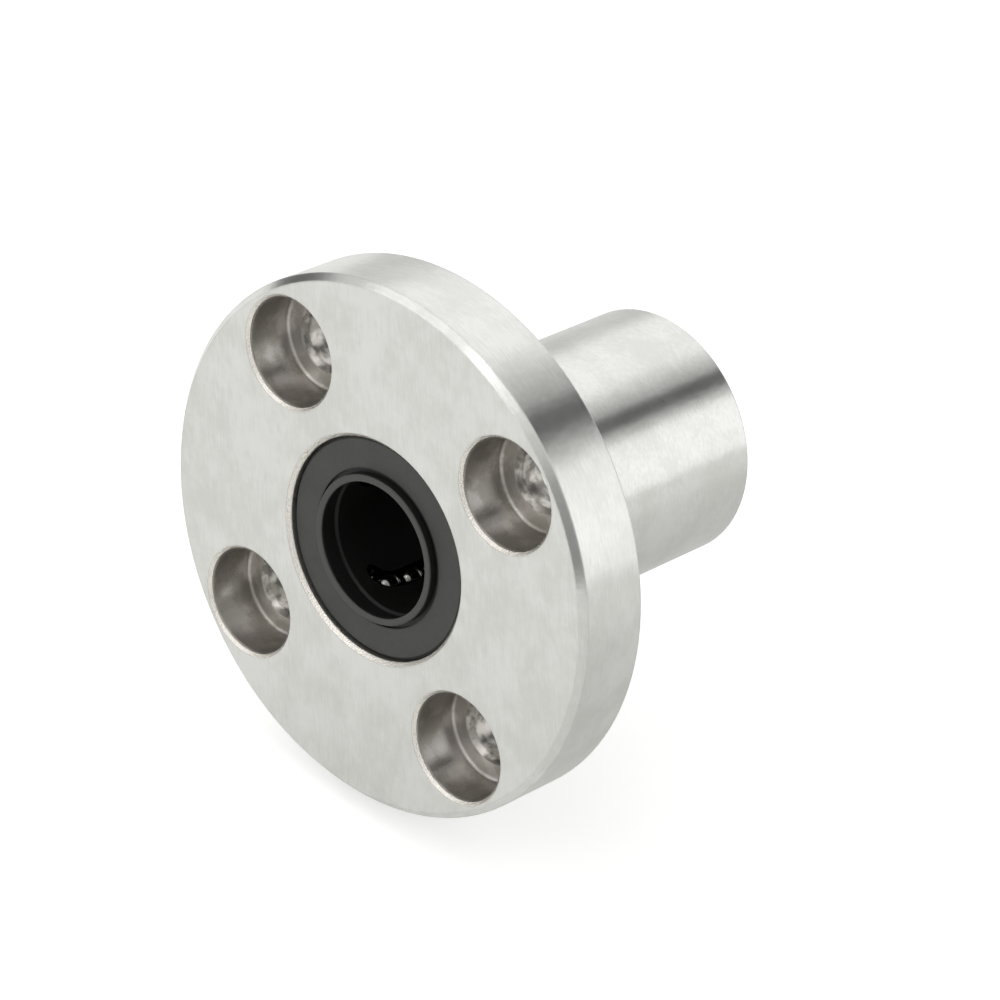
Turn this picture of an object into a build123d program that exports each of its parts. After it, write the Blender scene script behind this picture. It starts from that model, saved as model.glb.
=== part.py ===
from build123d import *
from math import ceil, cos, floor, hypot, radians, sin, sqrt
import os

# Flanged linear ball bearing for a round shaft, closed type, sealed at both ends.
# Sizes are in millimetres. The bore axis is Y, the origin is the bore's centre on the
# flange's mounting face, the front face looks along -Y and the sleeve runs along +Y.

# Housing, flange and sleeve ground from one piece
shaft_diameter = 8.0
sleeve_wall = 0.85
overall_length = 24.0
flange_diameter = 32.0
flange_thickness = 5.0
flange_chamfer = 0.4
sleeve_chamfer = 0.4
mouth_chamfer = 0.25
undercut_width = 1.0
undercut_face_width = 0.5
undercut_depth = 0.2

# Bolt holes, counterbored from the front for socket head screws
bolt_circle_diameter = 24.0
bolt_count = 4
bolt_angle = 45.0
bolt_hole_diameter = 3.6
counterbore_diameter = 6.4
counterbore_depth = 3.1
counterbore_chamfer = 0.25
counterbore_floor_radius = 0.2
bolt_hole_chamfer = 0.3

# Balls and their circuits
ball_diameter = 1.588
ball_gap = 0.012
balls_per_turn = 3
circuit_count = 4
row_angle = 75.0
shaft_clearance = 0.01
race_clearance = 0.008
return_clearance = 0.05
bore_rounding = 0.05
land_width = 2.0
land_lead = 0.3

# Cage, moulded in resin
cage_shaft_clearance = 0.2
cage_bore_clearance = 0.06
cage_end_play = 0.05
cage_end_wall = 0.6
cage_chamfer = 0.15
track_clearance = 0.07
notch_clearance = 0.08

# Seals, one snapped into each end of the bore
seal_recess = 0.42
seal_thickness = 0.9
seal_clearance = 0.015
seal_edge = 0.2
lip_clearance = 0.04
lip_width = 0.43
lip_height = 0.4
lip_round = 0.08
lip_land = 0.2
lip_relief = 0.26
lip_groove_width = 0.25
lip_groove_depth = 0.15
bead_height = 0.14
bead_width = 0.3
bead_position = 0.5
groove_clearance = 0.05

# Places along the axis
front_end = -flange_thickness
rear_end = front_end + overall_length
middle = (front_end + rear_end) / 2
seal_depth = seal_recess + seal_thickness

# The circuit, a flat racetrack: two straights joined by half-circle turns. Its plane lies square
# to the radius through the loaded row, so the balls leave the shaft as soon as they turn.
ball_radius = ball_diameter / 2
turn_step = 180 / balls_per_turn
turn_radius = (ball_diameter + ball_gap) / (2 * sin(radians(turn_step / 2)))
ball_pitch = radians(turn_step) * turn_radius
channel_radius = ball_radius + track_clearance
end_allowance = seal_depth + cage_end_play + cage_end_wall + channel_radius + turn_radius
balls_per_row = floor((overall_length - 2 * end_allowance) / ball_pitch)
straight_length = balls_per_row * ball_pitch
loaded_line_radius = shaft_diameter / 2 + shaft_clearance + ball_radius
return_line_radius = hypot(loaded_line_radius, 2 * turn_radius)
race_radius = loaded_line_radius + ball_radius + race_clearance
land_corner = sqrt(race_radius**2 - (land_width / 2) ** 2)

# The bore clears the return rows, rounded up, and the sleeve's wall stands outside it:
# 13.3 across the bore and 15 across the sleeve for an 8 mm shaft.
bore_need = return_line_radius + ball_radius + return_clearance
bore_radius = ceil(bore_need / bore_rounding) * bore_rounding
sleeve_radius = bore_radius + sleeve_wall

# Cage and seal sizes that follow from the bore and the shaft
cage_bore_radius = shaft_diameter / 2 + cage_shaft_clearance
cage_radius = bore_radius - cage_bore_clearance
cage_length = overall_length - 2 * (seal_depth + cage_end_play)
seal_radius = bore_radius - seal_clearance
lip_radius = shaft_diameter / 2 + lip_clearance

# Cuts that pass right out of the cage reach this far from the axis.
cut_reach = 2 * sleeve_radius


def cross_plane(y):
    """The plane across the bore at y, seen from the front: X to the right and Z up."""
    return Plane(origin=(0, y, 0), x_dir=(1, 0, 0), z_dir=(0, -1, 0))


def circuit_plane(circuit):
    """The racetrack's plane: x towards the return row, y along the bore, z outwards."""
    angle = radians(row_angle + circuit * 360 / circuit_count)
    outwards = Vector(cos(angle), 0, sin(angle))
    origin = outwards * loaded_line_radius + Vector(0, middle, 0)
    return Plane(origin=origin, x_dir=(sin(angle), 0, -cos(angle)), z_dir=outwards)


def is_arc(edge, radius):
    """True for a round edge of this radius that lies across the bore axis."""
    return (
        edge.geom_type == GeomType.CIRCLE
        and abs(edge.radius - radius) < 1e-4
        and edge.bounding_box().size.Y < 1e-4
    )


def make_housing():
    """Flange and sleeve in one, with seal grooves, race lands and counterbored bolt holes."""
    flange_radius = flange_diameter / 2
    mouth_radius = bore_radius + mouth_chamfer
    # The grinding undercut frees the corner between the mounting face and the sleeve.
    undercut_radius = sleeve_radius - undercut_depth
    groove_radius = bore_radius + bead_height
    groove_middle = seal_recess + bead_position
    groove_start = groove_middle - bead_width / 2 - groove_clearance
    groove_stop = groove_middle + bead_width / 2 + groove_clearance
    wall_middle = (bore_radius + sleeve_radius) / 2

    with BuildPart() as housing:
        with BuildSketch(Plane.XY):
            with BuildLine():
                Polyline(
                    (mouth_radius, front_end),
                    (flange_radius - flange_chamfer, front_end),
                    (flange_radius, front_end + flange_chamfer),
                    (flange_radius, -flange_chamfer),
                    (flange_radius - flange_chamfer, 0),
                    (sleeve_radius + undercut_face_width, 0),
                    (sleeve_radius + undercut_face_width, -undercut_depth),
                    (undercut_radius, -undercut_depth),
                    (undercut_radius, undercut_width - undercut_depth),
                    (sleeve_radius, undercut_width),
                    (sleeve_radius, rear_end - sleeve_chamfer),
                    (sleeve_radius - sleeve_chamfer, rear_end),
                    (mouth_radius, rear_end),
                    (bore_radius, rear_end - mouth_chamfer),
                    (bore_radius, rear_end - groove_start),
                    (groove_radius, rear_end - groove_start),
                    (groove_radius, rear_end - groove_stop),
                    (bore_radius, rear_end - groove_stop),
                    (bore_radius, front_end + groove_stop),
                    (groove_radius, front_end + groove_stop),
                    (groove_radius, front_end + groove_start),
                    (bore_radius, front_end + groove_start),
                    (bore_radius, front_end + mouth_chamfer),
                    close=True,
                )
            make_face()
        revolve(axis=Axis.Y)

        # The race lands stand in from the bore, one under each loaded row.
        with BuildSketch(cross_plane(middle)):
            with PolarLocations(wall_middle / 2, circuit_count, start_angle=row_angle):
                Rectangle(wall_middle, land_width)
            Circle(race_radius, mode=Mode.SUBTRACT)
        extrude(amount=straight_length / 2, both=True)
        land_ends = housing.edges().filter_by(lambda edge: is_arc(edge, race_radius))
        chamfer(land_ends, length=land_lead)

        # Bolt holes with their counterbores, then the broken edges of each.
        with Locations(cross_plane(front_end)):
            with PolarLocations(bolt_circle_diameter / 2, bolt_count, start_angle=bolt_angle):
                CounterBoreHole(
                    radius=bolt_hole_diameter / 2,
                    counter_bore_radius=counterbore_diameter / 2,
                    counter_bore_depth=counterbore_depth,
                    depth=flange_thickness,
                )
        rings = housing.edges().filter_by(lambda edge: is_arc(edge, counterbore_diameter / 2))
        fillet(rings.group_by(Axis.Y)[-1], radius=counterbore_floor_radius)
        rings = housing.edges().filter_by(lambda edge: is_arc(edge, counterbore_diameter / 2))
        chamfer(rings.group_by(Axis.Y)[0], length=counterbore_chamfer)
        rings = housing.edges().filter_by(lambda edge: is_arc(edge, bolt_hole_diameter / 2))
        chamfer(rings, length=bolt_hole_chamfer)
    return housing


def make_cage():
    """The resin retainer: a ring with a notch over each land and a ball track per circuit."""
    notch_floor = land_corner - notch_clearance
    notch_width = land_width + 2 * notch_clearance
    notch_middle = (notch_floor + cut_reach) / 2

    with BuildPart() as cage:
        with BuildSketch(cross_plane(middle)):
            Circle(cage_radius)
            Circle(cage_bore_radius, mode=Mode.SUBTRACT)
        extrude(amount=cage_length / 2, both=True)
        rims = cage.edges().filter_by(GeomType.CIRCLE)
        chamfer(rims, length=cage_chamfer)

        with BuildSketch(cross_plane(middle)):
            with PolarLocations(notch_middle, circuit_count, start_angle=row_angle):
                Rectangle(cut_reach - notch_floor, notch_width)
        extrude(amount=cage_length, both=True, mode=Mode.SUBTRACT)

        for circuit in range(circuit_count):
            plane = circuit_plane(circuit)
            # The round bottom of the track follows the path of the balls' centres.
            with BuildLine(plane) as path:
                Line((0, -straight_length / 2), (0, straight_length / 2))
                CenterArc((turn_radius, straight_length / 2), turn_radius, 180, -180)
                Line((2 * turn_radius, straight_length / 2), (2 * turn_radius, -straight_length / 2))
                CenterArc((turn_radius, -straight_length / 2), turn_radius, 0, -180)
            with BuildSketch(Plane(origin=path.line @ 0, z_dir=path.line % 0)):
                Circle(channel_radius)
            sweep(path=path.wires()[0], mode=Mode.SUBTRACT)
            # Above it the track is open outwards, where the balls were loaded.
            with BuildSketch(plane):
                with Locations((turn_radius, 0)):
                    SlotCenterToCenter(straight_length, 2 * (turn_radius + channel_radius), rotation=90)
                    SlotCenterToCenter(
                        straight_length,
                        2 * (turn_radius - channel_radius),
                        rotation=90,
                        mode=Mode.SUBTRACT,
                    )
            extrude(amount=cut_reach, mode=Mode.SUBTRACT)
    return cage


def make_seal(end, inwards):
    """A seal ring with its wiper lip. inwards is 1 at the front end and -1 at the rear."""
    face = end + inwards * seal_recess
    back = end + inwards * seal_depth
    lip_top = face - inwards * lip_height
    # The lip touches the shaft on a short land, and its back flares away at 45 degrees.
    land_end = lip_top + inwards * lip_land
    flare_end = land_end + inwards * lip_relief
    groove_floor = face + inwards * lip_groove_depth
    lip_outside = lip_radius + lip_width
    bead_middle = face + inwards * bead_position
    with BuildPart() as seal:
        with BuildSketch(Plane.XY) as profile:
            with BuildLine():
                Polyline(
                    (lip_radius, lip_top),
                    (lip_outside, lip_top),
                    (lip_outside, groove_floor),
                    (lip_outside + lip_groove_width, groove_floor),
                    (lip_outside + lip_groove_width, face),
                    (seal_radius - seal_edge, face),
                    (seal_radius, face + inwards * seal_edge),
                    (seal_radius, bead_middle - inwards * bead_width / 2),
                    (seal_radius + bead_height - groove_clearance, bead_middle),
                    (seal_radius, bead_middle + inwards * bead_width / 2),
                    (seal_radius, back - inwards * seal_edge),
                    (seal_radius - seal_edge, back),
                    (lip_radius + lip_relief, back),
                    (lip_radius + lip_relief, flare_end),
                    (lip_radius, land_end),
                    close=True,
                )
            make_face()
            lip_corners = profile.vertices().sort_by(Axis.Y, reverse=inwards < 0)[:2]
            fillet(lip_corners, radius=lip_round)
        revolve(axis=Axis.Y)
    return seal


def make_row(circuit, across):
    """One straight row of balls, across from the loaded line by the given distance."""
    with BuildPart(circuit_plane(circuit)) as row:
        with Locations((across, 0)):
            with GridLocations(0, ball_pitch, 1, balls_per_row):
                Sphere(ball_radius)
    return row


def make_turn(circuit, side):
    """The balls of one turn. side is -1 at the front of the circuit and 1 at the rear."""
    start = turn_step / 2 if side > 0 else 180 + turn_step / 2
    with BuildPart(circuit_plane(circuit)) as turn:
        with Locations((turn_radius, side * straight_length / 2)):
            with PolarLocations(turn_radius, balls_per_turn, start, 180, endpoint=False):
                Sphere(ball_radius)
    return turn


os.makedirs("parts", exist_ok=True)

housing = make_housing()
housing.part.label = "flanged_housing"
export_step(housing.part, "parts/flanged_housing.step")

cage = make_cage()
cage.part.label = "ball_cage"
export_step(cage.part, "parts/ball_cage.step")

front_seal = make_seal(front_end, 1)
front_seal.part.label = "front_seal"
export_step(front_seal.part, "parts/front_seal.step")

rear_seal = make_seal(rear_end, -1)
rear_seal.part.label = "rear_seal"
export_step(rear_seal.part, "parts/rear_seal.step")

for circuit in range(circuit_count):
    number = circuit + 1
    groups = {
        f"loaded_balls_{number}": make_row(circuit, 0),
        f"return_balls_{number}": make_row(circuit, 2 * turn_radius),
        f"front_turn_balls_{number}": make_turn(circuit, -1),
        f"rear_turn_balls_{number}": make_turn(circuit, 1),
    }
    for name, group in groups.items():
        group.part.label = name
        export_step(group.part, f"parts/{name}.step")
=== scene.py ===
"""Looks of a flanged linear ball bearing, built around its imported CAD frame."""
import logging
import math
from collections.abc import Callable
from dataclasses import dataclass
from enum import Enum
from functools import partial

import bpy
from mathutils import Matrix, Vector

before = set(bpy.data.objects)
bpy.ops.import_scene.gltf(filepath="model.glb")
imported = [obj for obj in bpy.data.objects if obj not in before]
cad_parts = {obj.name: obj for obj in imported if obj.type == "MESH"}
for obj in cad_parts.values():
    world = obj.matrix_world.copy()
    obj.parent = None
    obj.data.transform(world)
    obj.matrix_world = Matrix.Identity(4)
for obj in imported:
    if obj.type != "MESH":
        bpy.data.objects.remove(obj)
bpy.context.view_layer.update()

LOG = logging.getLogger("bearing_looks")

MM = 0.001
SOFT = {"interpolation_type": "SMOOTHSTEP"}
# A Mix node's sockets go by number, because those of its three kinds share their names.
FACTOR = 0
FLOAT_A, FLOAT_B = 2, 3
VECTOR_A, VECTOR_B = 4, 5
COLOUR_A, COLOUR_B = 6, 7
VECTOR_MIX = {"output": 1, "data_type": "VECTOR"}
COLOUR_MIX = {"output": 2, "data_type": "RGBA"}
Socket = bpy.types.NodeSocket
Triple = tuple[float, float, float]


class End(Enum):
    """The two ends of the bore, by the name of the seal in each."""

    FRONT = "front_seal"
    REAR = "rear_seal"


class BallGroup(Enum):
    """The parts of one ball circuit, by the name of their CAD node."""

    LOADED = "loaded_balls"
    RETURN = "return_balls"
    FRONT_TURN = "front_turn_balls"
    REAR_TURN = "rear_turn_balls"


def linear(hex_colour: str) -> tuple[float, float, float, float]:
    """Turns an sRGB hex colour into a linear colour.

    Args:
        hex_colour: Six hex digits with a leading hash.

    Returns:
        Linear red, green and blue, and an alpha of one.
    """
    digits = hex_colour.lstrip("#")
    channels = [int(digits[i:i + 2], 16) / 255 for i in (0, 2, 4)]
    # The curve of the sRGB standard.
    light = [c / 12.92 if c <= 0.04045 else ((c + 0.055) / 1.055) ** 2.4 for c in channels]
    return (light[0], light[1], light[2], 1.0)


def direction(azimuth: float, elevation: float) -> Vector:
    """Gives the unit vector of a compass direction.

    Args:
        azimuth: Degrees from +Y towards +X.
        elevation: Degrees above the horizon.

    Returns:
        The unit vector that points there.
    """
    a, e = math.radians(azimuth), math.radians(elevation)
    return Vector((math.sin(a) * math.cos(e), math.cos(a) * math.cos(e), math.sin(e)))


def add_node(
    tree: bpy.types.NodeTree,
    kind: str,
    inputs: tuple | dict = (),
    output: int | str = 0,
    **settings: object,
) -> Socket:
    """Adds a node with its settings and links, and gives one of its outputs.

    Args:
        tree: The node tree to add to.
        kind: The node's type name after ShaderNode, such as Math.
        inputs: Values or sockets, in the order of the node's inputs or by input name or number.
        output: The name or number of the output to give.
        **settings: Properties of the node itself.

    Returns:
        The output socket. For a node that has none, its first input.
    """
    node = tree.nodes.new("ShaderNode" + kind)
    for name, value in settings.items():
        setattr(node, name, value)
    pairs = inputs.items() if isinstance(inputs, dict) else enumerate(inputs)
    for key, value in pairs:
        if isinstance(value, Socket):
            tree.links.new(value, node.inputs[key])
        else:
            node.inputs[key].default_value = value
    return node.outputs[output] if node.outputs else node.inputs[0]


def new_material(name: str) -> tuple[bpy.types.Material, Callable]:
    """Makes an empty node material.

    Args:
        name: The material's name.

    Returns:
        The material, and add_node for its tree.
    """
    material = bpy.data.materials.new(name)
    material.use_nodes = True
    material.node_tree.nodes.clear()
    return material, partial(add_node, material.node_tree)


def millimetres(add: Callable) -> Socket:
    """Gives the object's own coordinates in millimetres.

    Args:
        add: The function that adds a node to the material.

    Returns:
        The coordinate socket.
    """
    place = {0: add("TexCoord", output="Object"), "Scale": 1 / MM}
    return add("VectorMath", place, operation="SCALE")


@dataclass(frozen=True)
class SteelSizes:
    """Places on the housing that its finish changes at, in millimetres."""

    front_face: float
    pocket_floor: float
    bore_radius: float
    sleeve_radius: float
    edge_width: float
    bolt_offset: float
    counterbore_radius: float
    bolt_mouth_radius: float


@dataclass(frozen=True)
class SteelPlaces:
    """Where a point of the housing lies in millimetres, and a mask for each kind of surface."""

    mm: Socket
    x: Socket
    y: Socket
    z: Socket
    radius: Socket
    hole_x: Socket
    hole_z: Socket
    hole_radius: Socket
    on_face: Socket
    on_sleeve: Socket
    on_mounting: Socket
    in_bolt: Socket
    in_pocket: Socket
    on_edge: Socket


@dataclass(frozen=True)
class SteelMarks:
    """What the tools and the oil left on the housing, as grey patterns."""

    grain: Socket
    scratches: Socket
    walls: Socket
    waves: Socket
    cuts: Socket
    stain: Socket


@dataclass(frozen=True)
class GroundBearingSteel:
    """Hardened bearing steel, bare and oiled.

    The front face is surface-ground, so it has fine lines that all run one way. The rim is
    turned and the sleeve ground on centres, so their highlights stretch along the axis. The
    bolt pockets are left as drilled and milled, duller, and every edge has a small burr. The
    pockets and holes are also painted darker, as painted shade, and the edges paler, as a
    painted highlight.
    """

    colour: str = "#D7D7D4"
    dull_colour: str = "#CCCCC8"
    speck_colour: str = "#8F8C86"
    scratch_colour: str = "#A9A8A2"
    # The pocket and drilled colours are painted shade in the recesses. The edge colour is a
    # painted highlight.
    pocket_shade_colour: str = "#C2BEBA"
    stained_pocket_shade: str = "#A9A69F"
    drilled_bright: str = "#C0BCB6"
    drilled_shade_colour: str = "#7E7B76"
    edge_highlight_colour: str = "#E4E0D8"
    roughness: float = 0.23
    face_roughness: float = 0.08
    mark_roughness: float = 0.12
    pocket_roughness: float = 0.08
    stain_roughness: float = 0.14
    anisotropic: float = 0.7
    # Real grinding lines are about 0.03 mm wide. They are drawn three times as wide, so that
    # they show.
    grain_angle: float = 17.0
    grain_width: float = 0.09
    grain_length: float = 1.6
    # How many times per millimetre each pattern changes, along x, y and z or all ways alike.
    smudge_rate: Triple = (2.2, 1.0, 0.7)
    scratch_rate: Triple = (14.0, 1.0, 0.45)
    turned_ring_rate: Triple = (1.2, 9.0, 1.2)
    mottle_rate: Triple = (3.0, 6.0, 3.0)
    wave_rate: Triple = (0.9, 0.6, 0.9)
    facing_ring_rate: float = 11.0
    facing_drift: float = 0.2
    cut_rate: float = 12.0
    cut_depth_rate: float = 9.0
    cut_drift: float = 0.6
    cloud_rate: float = 0.3
    stain_rate: float = 0.6
    drilled_rate: float = 1.3
    speck_rate: float = 5.0
    grit_rate: float = 7.0
    burr_rate: float = 9.0
    # How strong each pattern shows.
    cloud_share: float = 0.55
    stain_share: float = 0.5
    grit_share: float = 0.9
    smudge_share: float = 0.38
    scratch_share: float = 0.35
    speck_share: float = 0.12
    cut_contrast: float = 0.35
    wall_contrast: float = 0.55
    # Heights are in thousandths of a millimetre, and relief is that unit.
    relief: float = 0.001
    wall_height: float = 0.6
    wave_height: float = 7.0
    burr_height: float = 60.0
    edge_radius: float = 0.18

    def places(self, add: Callable, sizes: SteelSizes) -> SteelPlaces:
        """Works out where a point lies and which kind of surface it is on.

        Args:
            add: The function that adds a node to the material.
            sizes: Where the finish changes.

        Returns:
            The point's coordinates and masks.
        """
        mm = millimetres(add)
        x, y, z = (add("SeparateXYZ", (mm,), axis) for axis in "XYZ")
        flat = add("VectorMath", (mm, (1, 0, 1)), operation="MULTIPLY")
        radius = add("VectorMath", (flat,), "Value", operation="LENGTH")
        # One quarter stands for all four bolt holes.
        hole_x = add("Math", (x,), operation="ABSOLUTE")
        hole_x = add("Math", (hole_x, sizes.bolt_offset), operation="SUBTRACT")
        hole_z = add("Math", (z,), operation="ABSOLUTE")
        hole_z = add("Math", (hole_z, sizes.bolt_offset), operation="SUBTRACT")
        from_hole = add("CombineXYZ", (hole_x, 0, hole_z))
        hole_radius = add("VectorMath", (from_hole,), "Value", operation="LENGTH")

        # Each mask is zero at its first place and one at its second, which lie a few hundredths
        # or tenths of a millimetre apart.
        front = sizes.front_face
        on_face = add("MapRange", (y, front + 0.03, front), **SOFT)
        behind = add("Math", (1.0, on_face), operation="SUBTRACT")
        on_sleeve = add("MapRange", (y, 0.0, 0.2), **SOFT)

        sleeve = sizes.sleeve_radius
        on_mounting = add("MapRange", (y, -0.04, -0.01), **SOFT)
        outside = add("MapRange", (radius, sleeve + 0.3, sleeve + 0.4), **SOFT)
        on_mounting = add("Math", (on_mounting, outside), operation="MULTIPLY")

        mouth = sizes.bolt_mouth_radius
        in_bolt = add("MapRange", (hole_radius, mouth + 0.06, mouth), **SOFT)
        in_bolt = add("Math", (in_bolt, behind), operation="MULTIPLY")

        wall = sizes.counterbore_radius
        floor = sizes.pocket_floor
        in_pocket = add("MapRange", (hole_radius, wall + 0.06, wall + 0.01), **SOFT)
        in_pocket = add("Math", (in_pocket, behind), operation="MULTIPLY")
        above_floor = add("MapRange", (y, floor + 0.2, floor + 0.1), **SOFT)
        in_pocket = add("Math", (in_pocket, above_floor), operation="MULTIPLY")
        in_pocket = add("Math", (in_pocket, in_bolt), operation="MAXIMUM")

        # The burr, and the painted highlight on the edges, reach a little past each chamfer.
        rim = sizes.edge_width + 0.05
        bore = sizes.bore_radius
        pocket_rim = add("MapRange", (hole_radius, wall + rim, wall + rim - 0.04), **SOFT)
        pocket_rim = add("Math", (pocket_rim, in_pocket), operation="SUBTRACT")
        bore_rim = add("MapRange", (radius, bore + rim, bore + rim - 0.04), **SOFT)
        near_front = add("MapRange", (y, front + rim, front + rim - 0.06), **SOFT)
        near_front = add("Math", (near_front, behind), operation="MULTIPLY")
        on_edge = add("Math", (pocket_rim, bore_rim), operation="MAXIMUM")
        on_edge = add("Math", (on_edge, near_front), operation="MULTIPLY")
        return SteelPlaces(
            mm=mm, x=x, y=y, z=z, radius=radius,
            hole_x=hole_x, hole_z=hole_z, hole_radius=hole_radius,
            on_face=on_face, on_sleeve=on_sleeve, on_mounting=on_mounting,
            in_bolt=in_bolt, in_pocket=in_pocket, on_edge=on_edge,
        )

    def marks(self, add: Callable, at: SteelPlaces) -> SteelMarks:
        """Draws the marks of each tool.

        Args:
            add: The function that adds a node to the material.
            at: Where the point lies.

        Returns:
            The patterns.
        """
        # The grinding lines, with broader smudges among them and a few longer scratches.
        turn = {"Vector": at.mm, "Angle": math.radians(self.grain_angle)}
        turned = add("VectorRotate", turn, rotation_type="Y_AXIS")
        stretch = (1 / self.grain_width, 1.0, 1 / self.grain_length)
        lines = add("VectorMath", (turned, stretch), operation="MULTIPLY")
        lines = {"Vector": lines, "Scale": 1.0, "Detail": 3.0, "Roughness": 0.6}
        lines = add("TexNoise", lines)
        smudges = add("VectorMath", (turned, self.smudge_rate), operation="MULTIPLY")
        smudges = {"Vector": smudges, "Scale": 1.0, "Detail": 2.0, "Roughness": 0.65}
        smudges = add("TexNoise", smudges)
        smudges = add("Math", (smudges, self.smudge_share), operation="MULTIPLY")
        line_share = 1 - self.smudge_share
        grain = add("Math", (lines, line_share, smudges), operation="MULTIPLY_ADD")
        scratches = add("VectorMath", (turned, self.scratch_rate), operation="MULTIPLY")
        scratches = {"Vector": scratches, "Scale": 1.0, "Detail": 2.0, "Roughness": 0.5}
        scratches = add("TexNoise", scratches)
        scratches = add("MapRange", (scratches, 0.70, 0.76, 0.0, self.scratch_share), **SOFT)
        scratches = add("Math", (scratches, at.on_face), operation="MULTIPLY")

        # Turning leaves rings round the rim, 0.1 mm apart, and grinding a fine mottle on the
        # sleeve. Facing leaves rings round the bore on the mounting face.
        rings = add("VectorMath", (at.mm, self.turned_ring_rate), operation="MULTIPLY")
        rings = {"Vector": rings, "Scale": 1.0, "Detail": 2.0, "Roughness": 0.65}
        rings = add("TexNoise", rings)
        mottle = add("VectorMath", (at.mm, self.mottle_rate), operation="MULTIPLY")
        mottle = {"Vector": mottle, "Scale": 1.0, "Detail": 2.0, "Roughness": 0.6}
        mottle = add("TexNoise", mottle)
        round_bore = add("Math", (at.radius, self.facing_ring_rate), operation="MULTIPLY")
        drift_x = add("Math", (at.x, self.facing_drift), operation="MULTIPLY")
        drift_z = add("Math", (at.z, self.facing_drift), operation="MULTIPLY")
        facing = add("CombineXYZ", (round_bore, drift_x, drift_z))
        facing = {"Vector": facing, "Scale": 1.0, "Detail": 2.0, "Roughness": 0.6}
        facing = add("TexNoise", facing)
        walls = add("Mix", {FACTOR: at.on_sleeve, FLOAT_A: rings, FLOAT_B: mottle})
        walls = add("Mix", {FACTOR: at.on_mounting, FLOAT_A: walls, FLOAT_B: facing})
        # Oil in the marks makes them fainter. Their middle grey stays the same.
        middle = 0.5 - self.wall_contrast / 2
        walls = add("Math", (walls, self.wall_contrast, middle), operation="MULTIPLY_ADD")
        waves = add("VectorMath", (at.mm, self.wave_rate), operation="MULTIPLY")
        waves = {"Vector": waves, "Scale": 1.0, "Detail": 2.0, "Roughness": 0.6}
        waves = add("TexNoise", waves)

        # The cutter's rings in the pockets lie round each hole.
        round_hole = add("Math", (at.hole_radius, self.cut_rate), operation="MULTIPLY")
        along_hole = add("Math", (at.y, self.cut_depth_rate), operation="MULTIPLY")
        drift = add("Math", (at.x, self.cut_drift), operation="MULTIPLY")
        cuts = add("CombineXYZ", (round_hole, along_hole, drift))
        cuts = {"Vector": cuts, "Scale": 1.0, "Detail": 2.0, "Roughness": 0.6}
        cuts = add("TexNoise", cuts)
        middle = 0.5 - self.cut_contrast / 2
        cuts = add("Math", (cuts, self.cut_contrast, middle), operation="MULTIPLY_ADD")

        # Cutting oil has dried in soft patches inside the pockets.
        stain = {"Vector": at.mm, "Scale": self.stain_rate, "Detail": 2.0, "Roughness": 0.5}
        stain = add("TexNoise", stain)
        stain = add("MapRange", (stain, 0.35, 0.65), **SOFT)
        return SteelMarks(grain, scratches, walls, waves, cuts, stain)

    def tone(self, add: Callable, at: SteelPlaces, marks: SteelMarks) -> Socket:
        """Mixes the colour.

        Args:
            add: The function that adds a node to the material.
            at: Where the point lies.
            marks: The tools' marks.

        Returns:
            The colour.
        """
        # Broad, faint clouding from handling, and fine specks.
        cloud = {"Vector": at.mm, "Scale": self.cloud_rate, "Detail": 4.0, "Roughness": 0.65}
        cloud = add("TexNoise", cloud)
        lines = add("Mix", {FACTOR: at.on_face, FLOAT_A: marks.walls, FLOAT_B: marks.grain})
        lines = add("Math", (lines, 1 - self.cloud_share), operation="MULTIPLY")
        shade = add("Math", (cloud, self.cloud_share, lines), operation="MULTIPLY_ADD")
        shade = add("MapRange", (shade, 0.40, 0.60), **SOFT)
        tones = {FACTOR: shade, COLOUR_A: linear(self.colour), COLOUR_B: linear(self.dull_colour)}
        colour = add("Mix", tones, **COLOUR_MIX)
        speck = {"Vector": at.mm, "Scale": self.speck_rate, "Detail": 2.0, "Roughness": 0.5}
        speck = add("TexNoise", speck)
        speck = add("MapRange", (speck, 0.68, 0.78, 0.0, self.speck_share), **SOFT)
        tones = {FACTOR: speck, COLOUR_A: colour, COLOUR_B: linear(self.speck_colour)}
        colour = add("Mix", tones, **COLOUR_MIX)

        # The pockets and drilled holes are painted darker than the face, as painted shade in the
        # recesses, with stained patches in the pockets and random blotches in the holes. The
        # edges are painted paler, as a painted highlight.
        grit = {"Vector": at.mm, "Scale": self.grit_rate, "Detail": 3.0, "Roughness": 0.7}
        grit = add("TexNoise", grit)
        grit = add("Math", (grit, self.grit_share), operation="MULTIPLY")
        patches = (marks.stain, self.stain_share, grit)
        patches = add("Math", patches, operation="MULTIPLY_ADD")
        patches = add("MapRange", (patches, 0.45, 0.95), **SOFT)
        tones = {
            FACTOR: patches,
            COLOUR_A: linear(self.pocket_shade_colour),
            COLOUR_B: linear(self.stained_pocket_shade),
        }
        pocket = add("Mix", tones, **COLOUR_MIX)
        drilled = {"Vector": at.mm, "Scale": self.drilled_rate, "Detail": 3.0, "Roughness": 0.55}
        drilled = add("TexNoise", drilled)
        drilled = add("MapRange", (drilled, 0.38, 0.62), **SOFT)
        tones = {
            FACTOR: drilled,
            COLOUR_A: linear(self.drilled_shade_colour),
            COLOUR_B: linear(self.drilled_bright),
        }
        drilled = add("Mix", tones, **COLOUR_MIX)
        # Painted shade in the pockets and holes, the scratches, and a painted highlight on the
        # edges.
        layers = (
            (at.in_pocket, pocket),
            (at.in_bolt, drilled),
            (marks.scratches, linear(self.scratch_colour)),
            (at.on_edge, linear(self.edge_highlight_colour)),
        )
        for mask, layer in layers:
            colour = add("Mix", {FACTOR: mask, COLOUR_A: colour, COLOUR_B: layer}, **COLOUR_MIX)
        return colour

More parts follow.
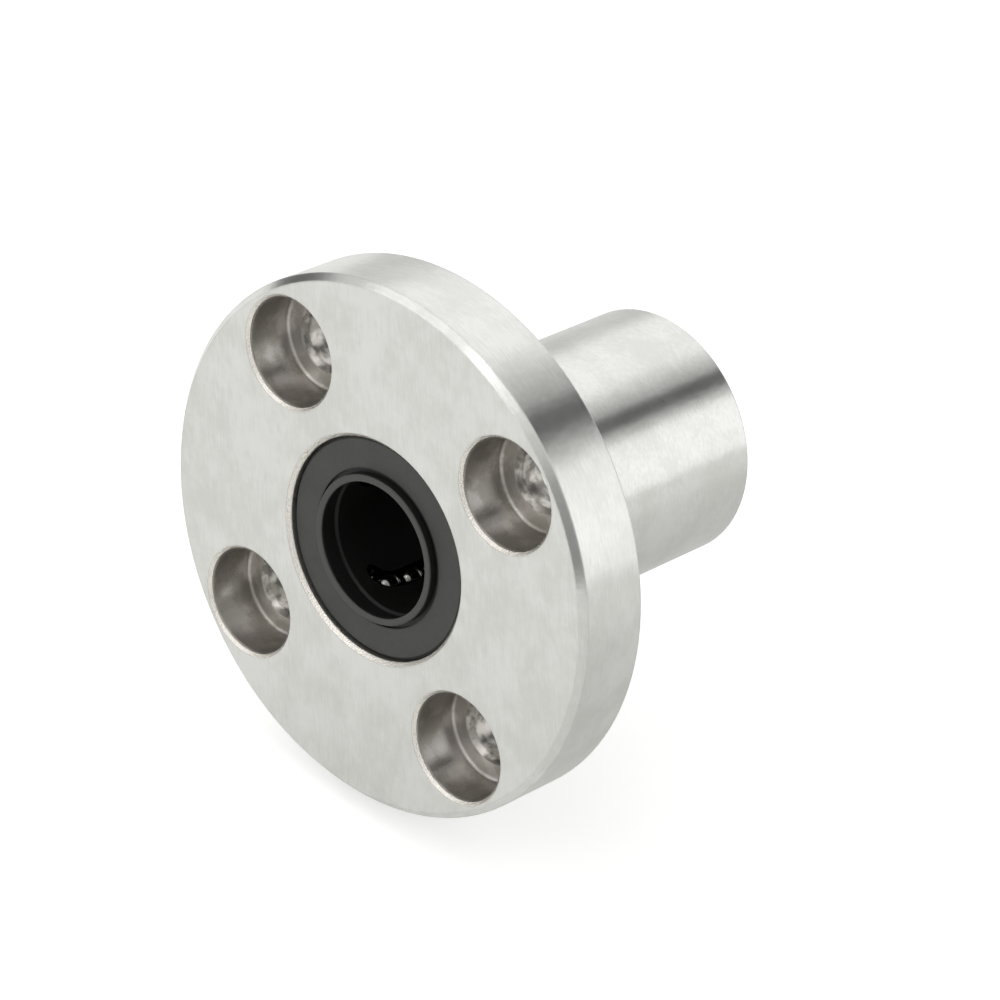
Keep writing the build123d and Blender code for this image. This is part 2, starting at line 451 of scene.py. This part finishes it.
    def rough(self, add: Callable, at: SteelPlaces, marks: SteelMarks) -> Socket:
        """Works out the roughness.

        Valleys of the marks scatter more, the ground face more than the turned walls, and the
        pockets most.

        Args:
            add: The function that adds a node to the material.
            at: Where the point lies.
            marks: The tools' marks.

        Returns:
            The roughness.
        """
        lines = add("Mix", {FACTOR: at.in_pocket, FLOAT_A: marks.walls, FLOAT_B: marks.cuts})
        lines = add("Mix", {FACTOR: at.on_face, FLOAT_A: lines, FLOAT_B: marks.grain})
        least = self.roughness - self.mark_roughness / 2
        rough = add("Math", (lines, self.mark_roughness, least), operation="MULTIPLY_ADD")
        rough = add("Math", (at.on_face, self.face_roughness, rough), operation="MULTIPLY_ADD")
        dull = (marks.stain, 0.0, 1.0, self.pocket_roughness, self.stain_roughness)
        dull = add("MapRange", dull)
        return add("Math", (at.in_pocket, dull, rough), operation="MULTIPLY_ADD")

    def normal(self, add: Callable, at: SteelPlaces, marks: SteelMarks) -> Socket:
        """Raises the marks and breaks the edges by a small radius.

        Args:
            add: The function that adds a node to the material.
            at: Where the point lies.
            marks: The tools' marks.

        Returns:
            The normal.
        """
        wave_height = add("MapRange", (at.on_mounting, 0.0, 1.0, self.wave_height, 0.0))
        height = add("Math", (marks.walls, self.wall_height), operation="MULTIPLY")
        height = add("Math", (marks.waves, wave_height, height), operation="MULTIPLY_ADD")
        height = add("Mix", {FACTOR: at.in_pocket, FLOAT_A: height, FLOAT_B: marks.cuts})
        height = add("Mix", {FACTOR: at.on_face, FLOAT_A: height, FLOAT_B: marks.grain})
        burr = {"Vector": at.mm, "Scale": self.burr_rate, "Detail": 2.0, "Roughness": 0.7}
        burr = add("TexNoise", burr)
        burr = add("Math", (burr, self.burr_height), operation="MULTIPLY")
        height = add("Mix", {FACTOR: at.on_edge, FLOAT_A: height, FLOAT_B: burr})
        broken = add("Bevel", {"Radius": self.edge_radius * MM}, samples=3)
        raised = {"Height": height, "Distance": self.relief * MM, "Strength": 1.0}
        return add("Bump", {**raised, "Normal": broken})

    def tangent(self, add: Callable, at: SteelPlaces) -> Socket:
        """Gives the way that highlights spread, which is across the marks.

        That is along the axis on the turned walls, away from the bore on the mounting face,
        across the lines on the front face, and away from the hole in a pocket.

        Args:
            add: The function that adds a node to the material.
            at: Where the point lies.

        Returns:
            The tangent.
        """
        # On a flat face only the lean is left, because the axis stands upright on it.
        lean = 0.02
        axis = (0, 1, 0)
        from_bore = add("VectorMath", (at.mm, (lean, 0, lean), axis), operation="MULTIPLY_ADD")
        angle = math.radians(self.grain_angle)
        across = (lean * math.cos(angle), 1.0, lean * math.sin(angle))
        side_x = add("Math", (at.x,), operation="SIGN")
        side_z = add("Math", (at.z,), operation="SIGN")
        away_x = add("Math", (side_x, at.hole_x), operation="MULTIPLY")
        away_z = add("Math", (side_z, at.hole_z), operation="MULTIPLY")
        away = add("CombineXYZ", (away_x, 0.0, away_z))
        from_hole = add("VectorMath", (away, (lean, lean, lean), axis), operation="MULTIPLY_ADD")
        spread = {FACTOR: at.on_face, VECTOR_A: from_bore, VECTOR_B: across}
        spread = add("Mix", spread, **VECTOR_MIX)
        spread = {FACTOR: at.in_pocket, VECTOR_A: spread, VECTOR_B: from_hole}
        return add("Mix", spread, **VECTOR_MIX)

    def material(self, name: str, sizes: SteelSizes) -> bpy.types.Material:
        """Makes the material for the housing.

        Args:
            name: The material's name.
            sizes: Where the finish changes.

        Returns:
            The material.
        """
        material, add = new_material(name)
        at = self.places(add, sizes)
        marks = self.marks(add, at)
        shader = add("BsdfPrincipled", {
            "Base Color": self.tone(add, at, marks),
            "Metallic": 1.0,
            "Roughness": self.rough(add, at, marks),
            "Anisotropic": self.anisotropic,
            "Tangent": self.tangent(add, at),
            "Normal": self.normal(add, at, marks),
        })
        add("OutputMaterial", (shader,))
        return material


@dataclass(frozen=True)
class MouldedSkin:
    """The faint clouding and fine texture that a mould leaves on rubber and resin.

    Rates are per millimetre, and the texture's depth is in millimetres.
    """

    colour: str
    worn_colour: str
    roughness: float
    roughness_spread: float = 0.2
    cloud_rate: float = 0.5
    texture_rate: float = 5.0
    texture_depth: float = 0.006

    def surface(self, add: Callable, mm: Socket) -> tuple[Socket, Socket, Socket]:
        """Makes the plain moulded surface.

        Args:
            add: The function that adds a node to the material.
            mm: The object's coordinates in millimetres.

        Returns:
            The colour, the roughness and the normal.
        """
        texture = {"Vector": mm, "Scale": self.texture_rate, "Detail": 3.0, "Roughness": 0.6}
        texture = add("TexNoise", texture)
        cloud = {"Vector": mm, "Scale": self.cloud_rate, "Detail": 3.0, "Roughness": 0.5}
        cloud = add("TexNoise", cloud)
        cloud = add("MapRange", (cloud, 0.35, 0.7), **SOFT)
        tones = {FACTOR: cloud, COLOUR_A: linear(self.colour), COLOUR_B: linear(self.worn_colour)}
        colour = add("Mix", tones, **COLOUR_MIX)
        least = self.roughness - self.roughness_spread / 2
        rough = add("Math", (texture, self.roughness_spread, least), operation="MULTIPLY_ADD")
        normal = {"Height": texture, "Distance": self.texture_depth * MM, "Strength": 1.0}
        return colour, rough, add("Bump", normal)


@dataclass(frozen=True)
class SealSizes:
    """Places on a seal ring that its finish changes at, in millimetres."""

    middle: float
    lip_top: float
    lip_inside: float
    lip_outside: float
    groove_outside: float


@dataclass(frozen=True)
class SealRubber:
    """Moulded nitrile rubber, matt dark grey, with painted shade, nearly black, inside the wiping
    edge, in the groove round it and on the ring's back.
    """

    skin: MouldedSkin = MouldedSkin("#31312E", "#363633", 0.55)
    lip_top_colour: str = "#393936"
    # The colour of the painted shade in the bore, the groove and on the ring's back.
    painted_shade_colour: str = "#080807"

    def painted_shade(self, add: Callable, radius: Socket, out: Socket, sizes: SealSizes) -> Socket:
        """Finds where the rubber is painted nearly black, as painted shade.

        Args:
            add: The function that adds a node to the material.
            radius: Distance from the bore's axis, in millimetres.
            out: Distance from the middle of the bore along its axis, in millimetres.
            sizes: Where the finish changes.

        Returns:
            The mask, one where shade is painted.
        """
        top = sizes.lip_top
        # The bore wall inside the wiping edge is painted nearly black, as painted shade.
        inside = add("MapRange", (radius, sizes.lip_inside + 0.04, sizes.lip_inside), **SOFT)
        below = add("MapRange", (out, top - 0.04, top - 0.14), **SOFT)
        edge_shade = add("Math", (inside, below), operation="MULTIPLY")
        # So is everything well behind the lip's top, the ring's back and the deep bore, as
        # painted shade.
        back = add("MapRange", (out, top - 0.6, top - 0.8), **SOFT)
        edge_shade = add("Math", (edge_shade, back), operation="MAXIMUM")
        # The groove round the lip is painted dark too, as painted shade.
        start, stop = sizes.lip_outside, sizes.groove_outside
        groove = add("MapRange", (radius, start - 0.05, start - 0.01), **SOFT)
        groove_end = add("MapRange", (radius, stop + 0.10, stop), **SOFT)
        groove = add("Math", (groove, groove_end), operation="MULTIPLY")
        deep = add("MapRange", (out, top - 0.02, top - 0.16), **SOFT)
        groove = add("Math", (groove, deep), operation="MULTIPLY")
        return add("Math", (edge_shade, groove), operation="MAXIMUM")

    def material(self, name: str, sizes: SealSizes) -> bpy.types.Material:
        """Makes the material for both seal rings.

        Args:
            name: The material's name.
            sizes: Where the finish changes.

        Returns:
            The material.
        """
        material, add = new_material(name)
        mm = millimetres(add)
        colour, rough, normal = self.skin.surface(add, mm)
        flat = add("VectorMath", (mm, (1, 0, 1)), operation="MULTIPLY")
        radius = add("VectorMath", (flat,), "Value", operation="LENGTH")
        # Both seals face away from the middle of the bore.
        out = add("Math", (add("SeparateXYZ", (mm,), "Y"), sizes.middle), operation="SUBTRACT")
        out = add("Math", (out,), operation="ABSOLUTE")
        # The lip's top is painted paler.
        paler_lip_top = add("MapRange", (out, sizes.lip_top - 0.12, sizes.lip_top - 0.04), **SOFT)
        tones = {FACTOR: paler_lip_top, COLOUR_A: colour, COLOUR_B: linear(self.lip_top_colour)}
        colour = add("Mix", tones, **COLOUR_MIX)
        # Painted shade, nearly black, inside the wiping edge, in the groove and on the ring's
        # back.
        shade_mask = self.painted_shade(add, radius, out, sizes)
        tones = {FACTOR: shade_mask, COLOUR_A: colour, COLOUR_B: linear(self.painted_shade_colour)}
        colour = add("Mix", tones, **COLOUR_MIX)
        shader = {"Base Color": colour, "Roughness": rough, "Normal": normal}
        shader = add("BsdfPrincipled", shader)
        add("OutputMaterial", (shader,))
        return material


@dataclass(frozen=True)
class CageResin:
    """Black acetal resin, moulded, with a soft sheen under a film of oil."""

    skin: MouldedSkin = MouldedSkin("#121211", "#171716", 0.5)
    sheen: float = 0.25

    def material(self, name: str) -> bpy.types.Material:
        """Makes the material for the ball cage.

        Args:
            name: The material's name.

        Returns:
            The material.
        """
        material, add = new_material(name)
        colour, rough, normal = self.skin.surface(add, millimetres(add))
        shader = add("BsdfPrincipled", {
            "Base Color": colour,
            "Roughness": rough,
            "Specular IOR Level": self.sheen,
            "Normal": normal,
        })
        add("OutputMaterial", (shader,))
        return material


@dataclass(frozen=True)
class LappedBallSteel:
    """Lapped chrome steel, nearly a mirror, painted darker than bare chrome as painted shade
    inside the bore.
    """

    # Both colours are darker than bare chrome: painted shade inside the bore. A patchy film mixes
    # them.
    colour: str = "#807F7B"
    shaded_film_colour: str = "#767571"
    roughness: float = 0.02
    film_rate: float = 1.5
    film_roughness: float = 0.04

    def material(self, name: str) -> bpy.types.Material:
        """Makes the material for the balls.

        Args:
            name: The material's name.

        Returns:
            The material.
        """
        material, add = new_material(name)
        mm = millimetres(add)
        film = {"Vector": mm, "Scale": self.film_rate, "Detail": 2.0, "Roughness": 0.5}
        film = add("TexNoise", film)
        rough = (film, self.film_roughness, self.roughness)
        rough = add("Math", rough, operation="MULTIPLY_ADD")
        tones = {FACTOR: film, COLOUR_A: linear(self.colour), COLOUR_B: linear(self.shaded_film_colour)}
        colour = add("Mix", tones, **COLOUR_MIX)
        shader = {"Base Color": colour, "Metallic": 1.0, "Roughness": rough}
        shader = add("BsdfPrincipled", shader)
        add("OutputMaterial", (shader,))
        return material


def dress(node_name: str, material: bpy.types.Material) -> None:
    """Gives a CAD node its finish.

    Args:
        node_name: The node's name in the frame.
        material: The material for its only slot.
    """
    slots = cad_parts[node_name].data.materials
    slots.clear()
    slots.append(material)
    LOG.info("%s: %s", node_name, material.name)


@dataclass
class FlangedHousing:
    """The steel flange and sleeve. Sizes are in millimetres."""

    front_face: float = -5.0
    counterbore_depth: float = 3.1
    bore_radius: float = 6.65
    sleeve_radius: float = 7.5
    edge_width: float = 0.25
    bolt_circle_radius: float = 12.0
    counterbore_radius: float = 3.2
    bolt_mouth_radius: float = 2.1
    finish: GroundBearingSteel = GroundBearingSteel()

    def dress(self) -> None:
        """Dresses the housing."""
        sizes = SteelSizes(
            front_face=self.front_face,
            pocket_floor=self.front_face + self.counterbore_depth,
            bore_radius=self.bore_radius,
            sleeve_radius=self.sleeve_radius,
            edge_width=self.edge_width,
            bolt_offset=self.bolt_circle_radius * math.sqrt(0.5),
            counterbore_radius=self.counterbore_radius,
            bolt_mouth_radius=self.bolt_mouth_radius,
        )
        dress("flanged_housing", self.finish.material("ground_bearing_steel", sizes))


@dataclass
class SealRings:
    """The rubber seal in each end of the bore. Sizes are in millimetres."""

    middle: float = 7.0
    half_length: float = 12.0
    lip_set_back: float = 0.02
    lip_radius: float = 4.04
    lip_relief: float = 0.26
    lip_width: float = 0.43
    groove_width: float = 0.25
    finish: SealRubber = SealRubber()

    def dress(self) -> None:
        """Dresses both seals with one rubber."""
        outside = self.lip_radius + self.lip_width
        sizes = SealSizes(
            middle=self.middle,
            lip_top=self.half_length - self.lip_set_back,
            lip_inside=self.lip_radius + self.lip_relief + 0.02,
            lip_outside=outside,
            groove_outside=outside + self.groove_width,
        )
        material = self.finish.material("dark_seal_rubber", sizes)
        for end in End:
            dress(end.value, material)


@dataclass
class BallCage:
    """The resin cage with its four ball circuits."""

    circuits: int = 4
    resin: CageResin = CageResin()
    steel: LappedBallSteel = LappedBallSteel()

    def dress(self) -> None:
        """Dresses the cage and every group of balls."""
        dress("ball_cage", self.resin.material("black_cage_resin"))
        material = self.steel.material("lapped_ball_steel")
        for number in range(1, self.circuits + 1):
            for group in BallGroup:
                dress(f"{group.value}_{number}", material)


@dataclass(frozen=True)
class Glow:
    """A soft patch of light or shade in the studio round the object."""

    azimuth: float
    elevation: float
    inner: float
    outer: float
    strength: float


@dataclass
class Studio:
    """Soft light all round, a pale floor and the camera. Places are in millimetres."""

    level: float = 0.80
    darkest: float = 0.02
    floor_height: float = -17.0
    floor_size: float = 2400.0
    floor_colour: str = "#DDDDDB"
    floor_fleck: str = "#DFDFDD"
    floor_lift: float = 0.46
    # Behind the object: a bright panel, the window's edge, and the dark gap between them that
    # shows as the band along the rim and the sleeve. In front: a large panel high on the left,
    # a small lamp, a low pale panel, a shade on the left and one below the camera. On the
    # right, a tall pale panel.
    glows: tuple[Glow, ...] = (
        Glow(-28, 38, 14, 34, 0.50),
        Glow(46, 16, 17, 23, 0.62),
        Glow(18, 44, 5, 23, -0.30),
        Glow(24, 41, 2, 8, -0.95),
        Glow(33, 48, 1, 6, -0.80),
        Glow(16, 34, 1, 6, -0.80),
        Glow(-150, 47, 28, 36, 0.58),
        Glow(-170, 41, 3, 7, 2.4),
        Glow(-174, 7, 9, 22, 0.62),
        Glow(-95, 7, 6, 18, -0.70),
        Glow(134, 14, 12, 30, -0.52),
        Glow(105, 40, 15, 38, 0.35),
    )
    camera_place: Triple = (133.975, -165.785, 136.26)
    camera_right: Triple = (0.71154, 0.68414, 0.16022)
    camera_ahead: Triple = (-0.52167, 0.66711, -0.53181)
    camera_lens: float = 160.774

    def light(self) -> None:
        """Makes the world: a pale tent with its patches, and white behind everything."""
        world = bpy.data.worlds.new("studio_light")
        bpy.context.scene.world = world
        world.use_nodes = True
        world.node_tree.nodes.clear()
        add = partial(add_node, world.node_tree)
        way = add("VectorMath", (add("TexCoord", output="Generated"),), operation="NORMALIZE")
        level = self.level
        for glow in self.glows:
            towards = direction(glow.azimuth, glow.elevation)
            near = add("VectorMath", (way, towards), "Value", operation="DOT_PRODUCT")
            start, end = math.cos(math.radians(glow.outer)), math.cos(math.radians(glow.inner))
            patch = add("MapRange", (near, start, end, 0.0, glow.strength), **SOFT)
            level = add("Math", (level, patch), operation="ADD")
        level = add("Math", (level, self.darkest), operation="MAXIMUM")
        seen = add("LightPath", output="Is Camera Ray")
        strength = add("Mix", {FACTOR: seen, FLOAT_A: level, FLOAT_B: 1.0})
        back = add("Background", {"Color": linear("#FFFFFF"), "Strength": strength})
        add("OutputWorld", (back,))
        LOG.info("world: %d patches", len(self.glows))

    def floor(self) -> None:
        """Makes the pale floor under the object."""
        bpy.ops.object.select_all(action="DESELECT")
        place = (0, 0, self.floor_height * MM)
        bpy.ops.mesh.primitive_plane_add(size=self.floor_size * MM, location=place)
        plane = bpy.context.object
        plane.name = "studio_floor"
        material, add = new_material("pale_floor")
        at = add("TexCoord", output="Object")
        paper = add("TexNoise", {"Vector": at, "Scale": 40.0})
        tones = {
            FACTOR: paper,
            COLOUR_A: linear(self.floor_colour),
            COLOUR_B: linear(self.floor_fleck),
        }
        matt = add("BsdfDiffuse", (add("Mix", tones, **COLOUR_MIX),))
        # The floor itself glows more towards the front left and far behind on the right. This is
        # painted light that stands in for pale cards there and throws light on the object.
        ahead = add("VectorMath", (at, direction(-140, 0)), "Value", operation="DOT_PRODUCT")
        front_floor_glow = add("MapRange", (ahead, -25 * MM, 15 * MM, 0.05, 0.33), **SOFT)
        beyond = add("VectorMath", (at, direction(42, 0)), "Value", operation="DOT_PRODUCT")
        rear_floor_glow = add("MapRange", (beyond, 35 * MM, 110 * MM, 0.0, 0.17), **SOFT)
        floor_glow = add("Math", (front_floor_glow, rear_floor_glow), operation="ADD")
        # The camera sees the bare floor as white, darker only where the object's shadow falls.
        seen = add("LightPath", output="Is Camera Ray")
        strength = add("Mix", {FACTOR: seen, FLOAT_A: floor_glow, FLOAT_B: self.floor_lift})
        lift = add("Emission", {"Color": linear("#FFFFFF"), "Strength": strength})
        add("OutputMaterial", (add("AddShader", (matt, lift)),))
        plane.data.materials.append(material)
        LOG.info("floor at %.1f mm", self.floor_height)

    def camera(self) -> None:
        """Places the camera where the photograph was taken from."""
        bpy.ops.object.camera_add(location=Vector(self.camera_place) * MM)
        camera = bpy.context.object
        camera.name = "photo_camera"
        right = Vector(self.camera_right).normalized()
        ahead = Vector(self.camera_ahead).normalized()
        above = right.cross(ahead).normalized()
        camera.rotation_euler = Matrix((right, above, -ahead)).transposed().to_euler()
        camera.data.sensor_width = 36.0
        camera.data.lens = self.camera_lens
        camera.data.clip_start = 0.01
        camera.data.clip_end = 10.0
        bpy.context.scene.camera = camera
        bpy.context.scene.view_settings.view_transform = "Standard"

    def build(self) -> None:
        """Sets up the light, the floor and the camera."""
        self.light()
        self.floor()
        self.camera()


def main() -> None:
    """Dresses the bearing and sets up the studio."""
    FlangedHousing().dress()
    SealRings().dress()
    BallCage().dress()
    Studio().build()


if __name__ == "__main__":
    logging.basicConfig(level=logging.INFO)
    main()
